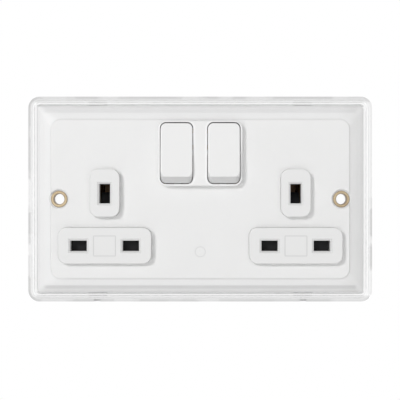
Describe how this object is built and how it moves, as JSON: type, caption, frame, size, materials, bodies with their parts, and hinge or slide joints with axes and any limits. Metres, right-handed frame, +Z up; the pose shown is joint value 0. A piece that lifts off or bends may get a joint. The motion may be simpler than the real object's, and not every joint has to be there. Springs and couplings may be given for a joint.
{
  "type": "twin switched mains socket",
  "caption": "Flush twin switched socket outlet: white moulded base under a clear clip-on frontplate, with rocker switches, shuttered pin openings and a rear housing.",
  "frame": {"origin": "halfway between the two fixing holes, on the plane of the wall", "axes": "+X to the right, +Z up, -Y out of the wall towards the user"},
  "size_m": [0.147, 0.0331, 0.0876],
  "materials": {
    "clear_plastic": "clear moulded polycarbonate, polished",
    "white_plastic": "white moulded urea, satin gloss",
    "rocker_white": "white moulded plastic, satin gloss",
    "housing_plastic": "off-white moulded plastic, matt",
    "dark_plastic": "dark grey moulded plastic",
    "nylon": "natural nylon",
    "brass": "stamped brass",
    "eyelet_brass": "dull brass",
    "bronze": "dull phosphor bronze spring strip",
    "silver": "silver alloy contact",
    "plated_steel": "zinc-plated steel",
    "spring_steel": "spring wire"
  },
  "bodies": {
    "socket": {"clear_cover": "clear_plastic", "earth_clip_left": "bronze", "earth_clip_right": "bronze", "earth_left_clamp_screw": "plated_steel", "earth_left_terminal": "brass", "earth_right_clamp_screw": "plated_steel", "earth_right_terminal": "brass", "earth_strap": "brass", "fixed_contacts": "silver", "fixing_eyelet_left": "eyelet_brass", "fixing_eyelet_right": "eyelet_brass", "front_moulding": "white_plastic", "housing_screws": "plated_steel", "live_bar": "brass", "live_clamp_screw": "plated_steel", "live_contact_left": "bronze", "live_contact_right": "bronze", "live_terminal": "brass", "neutral_bar": "brass", "neutral_clamp_screw": "plated_steel", "neutral_contact_left": "bronze", "neutral_contact_right": "bronze", "neutral_terminal": "brass", "pin_block_left": "white_plastic", "pin_block_right": "white_plastic", "rear_housing": "housing_plastic", "shutter_spring_left": "spring_steel", "shutter_spring_right": "spring_steel"},
    "rocker_left": {"rocker_left": "rocker_white", "plunger_springs_left": "spring_steel"},
    "rocker_right": {"rocker_right": "rocker_white", "plunger_springs_right": "spring_steel"},
    "plungers_left": {"plungers_left": "nylon"},
    "plungers_right": {"plungers_right": "nylon"},
    "contact_arms_left": {"contact_arms_left": "brass", "moving_contacts_left": "silver"},
    "contact_arms_right": {"contact_arms_right": "brass", "moving_contacts_right": "silver"},
    "shutter_left": {"shutter_left": "dark_plastic"},
    "shutter_right": {"shutter_right": "dark_plastic"}
  },
  "joints": [
    {"name": "rocker_left_hinge", "type": "hinge", "parent": "socket", "child": "rocker_left", "pos_m": [-0.01005, -0.0074, 0.0195], "axis": [1, 0, 0], "range_deg": [0, 12]},
    {"name": "contact_arms_left_hinge", "type": "hinge", "parent": "socket", "child": "contact_arms_left", "pos_m": [-0.01005, 0.008, 0.0195], "axis": [1, 0, 0], "range_deg": [-20, 0]},
    {"name": "plungers_left_slide", "type": "slide", "parent": "rocker_left", "child": "plungers_left", "axis": [0, -0.9945, 0.1045], "range_m": [0, 0.0006], "stiffness_N_per_m": 300, "springref_m": -0.001, "deforming": ["plunger_springs_left"]},
    {"name": "shutter_left_slide", "type": "slide", "parent": "socket", "child": "shutter_left", "axis": [0, 0, -1], "range_m": [0, 0.0054], "stiffness_N_per_m": 120, "springref_m": -0.003, "deforming": ["shutter_spring_left"]},
    {"name": "rocker_right_hinge", "type": "hinge", "parent": "socket", "child": "rocker_right", "pos_m": [0.01005, -0.0074, 0.0195], "axis": [1, 0, 0], "range_deg": [0, 12]},
    {"name": "contact_arms_right_hinge", "type": "hinge", "parent": "socket", "child": "contact_arms_right", "pos_m": [0.01005, 0.008, 0.0195], "axis": [1, 0, 0], "range_deg": [-20, 0]},
    {"name": "plungers_right_slide", "type": "slide", "parent": "rocker_right", "child": "plungers_right", "axis": [0, -0.9945, 0.1045], "range_m": [0, 0.0006], "stiffness_N_per_m": 300, "springref_m": -0.001, "deforming": ["plunger_springs_right"]},
    {"name": "shutter_right_slide", "type": "slide", "parent": "socket", "child": "shutter_right", "axis": [0, 0, -1], "range_m": [0, 0.0054], "stiffness_N_per_m": 120, "springref_m": -0.003, "deforming": ["shutter_spring_right"]}
  ],
  "couplings": [
    {"joint": "contact_arms_left_hinge", "follows": "rocker_left_hinge", "ratio": -1.6666},
    {"joint": "contact_arms_right_hinge", "follows": "rocker_right_hinge", "ratio": -1.6666}
  ]
}
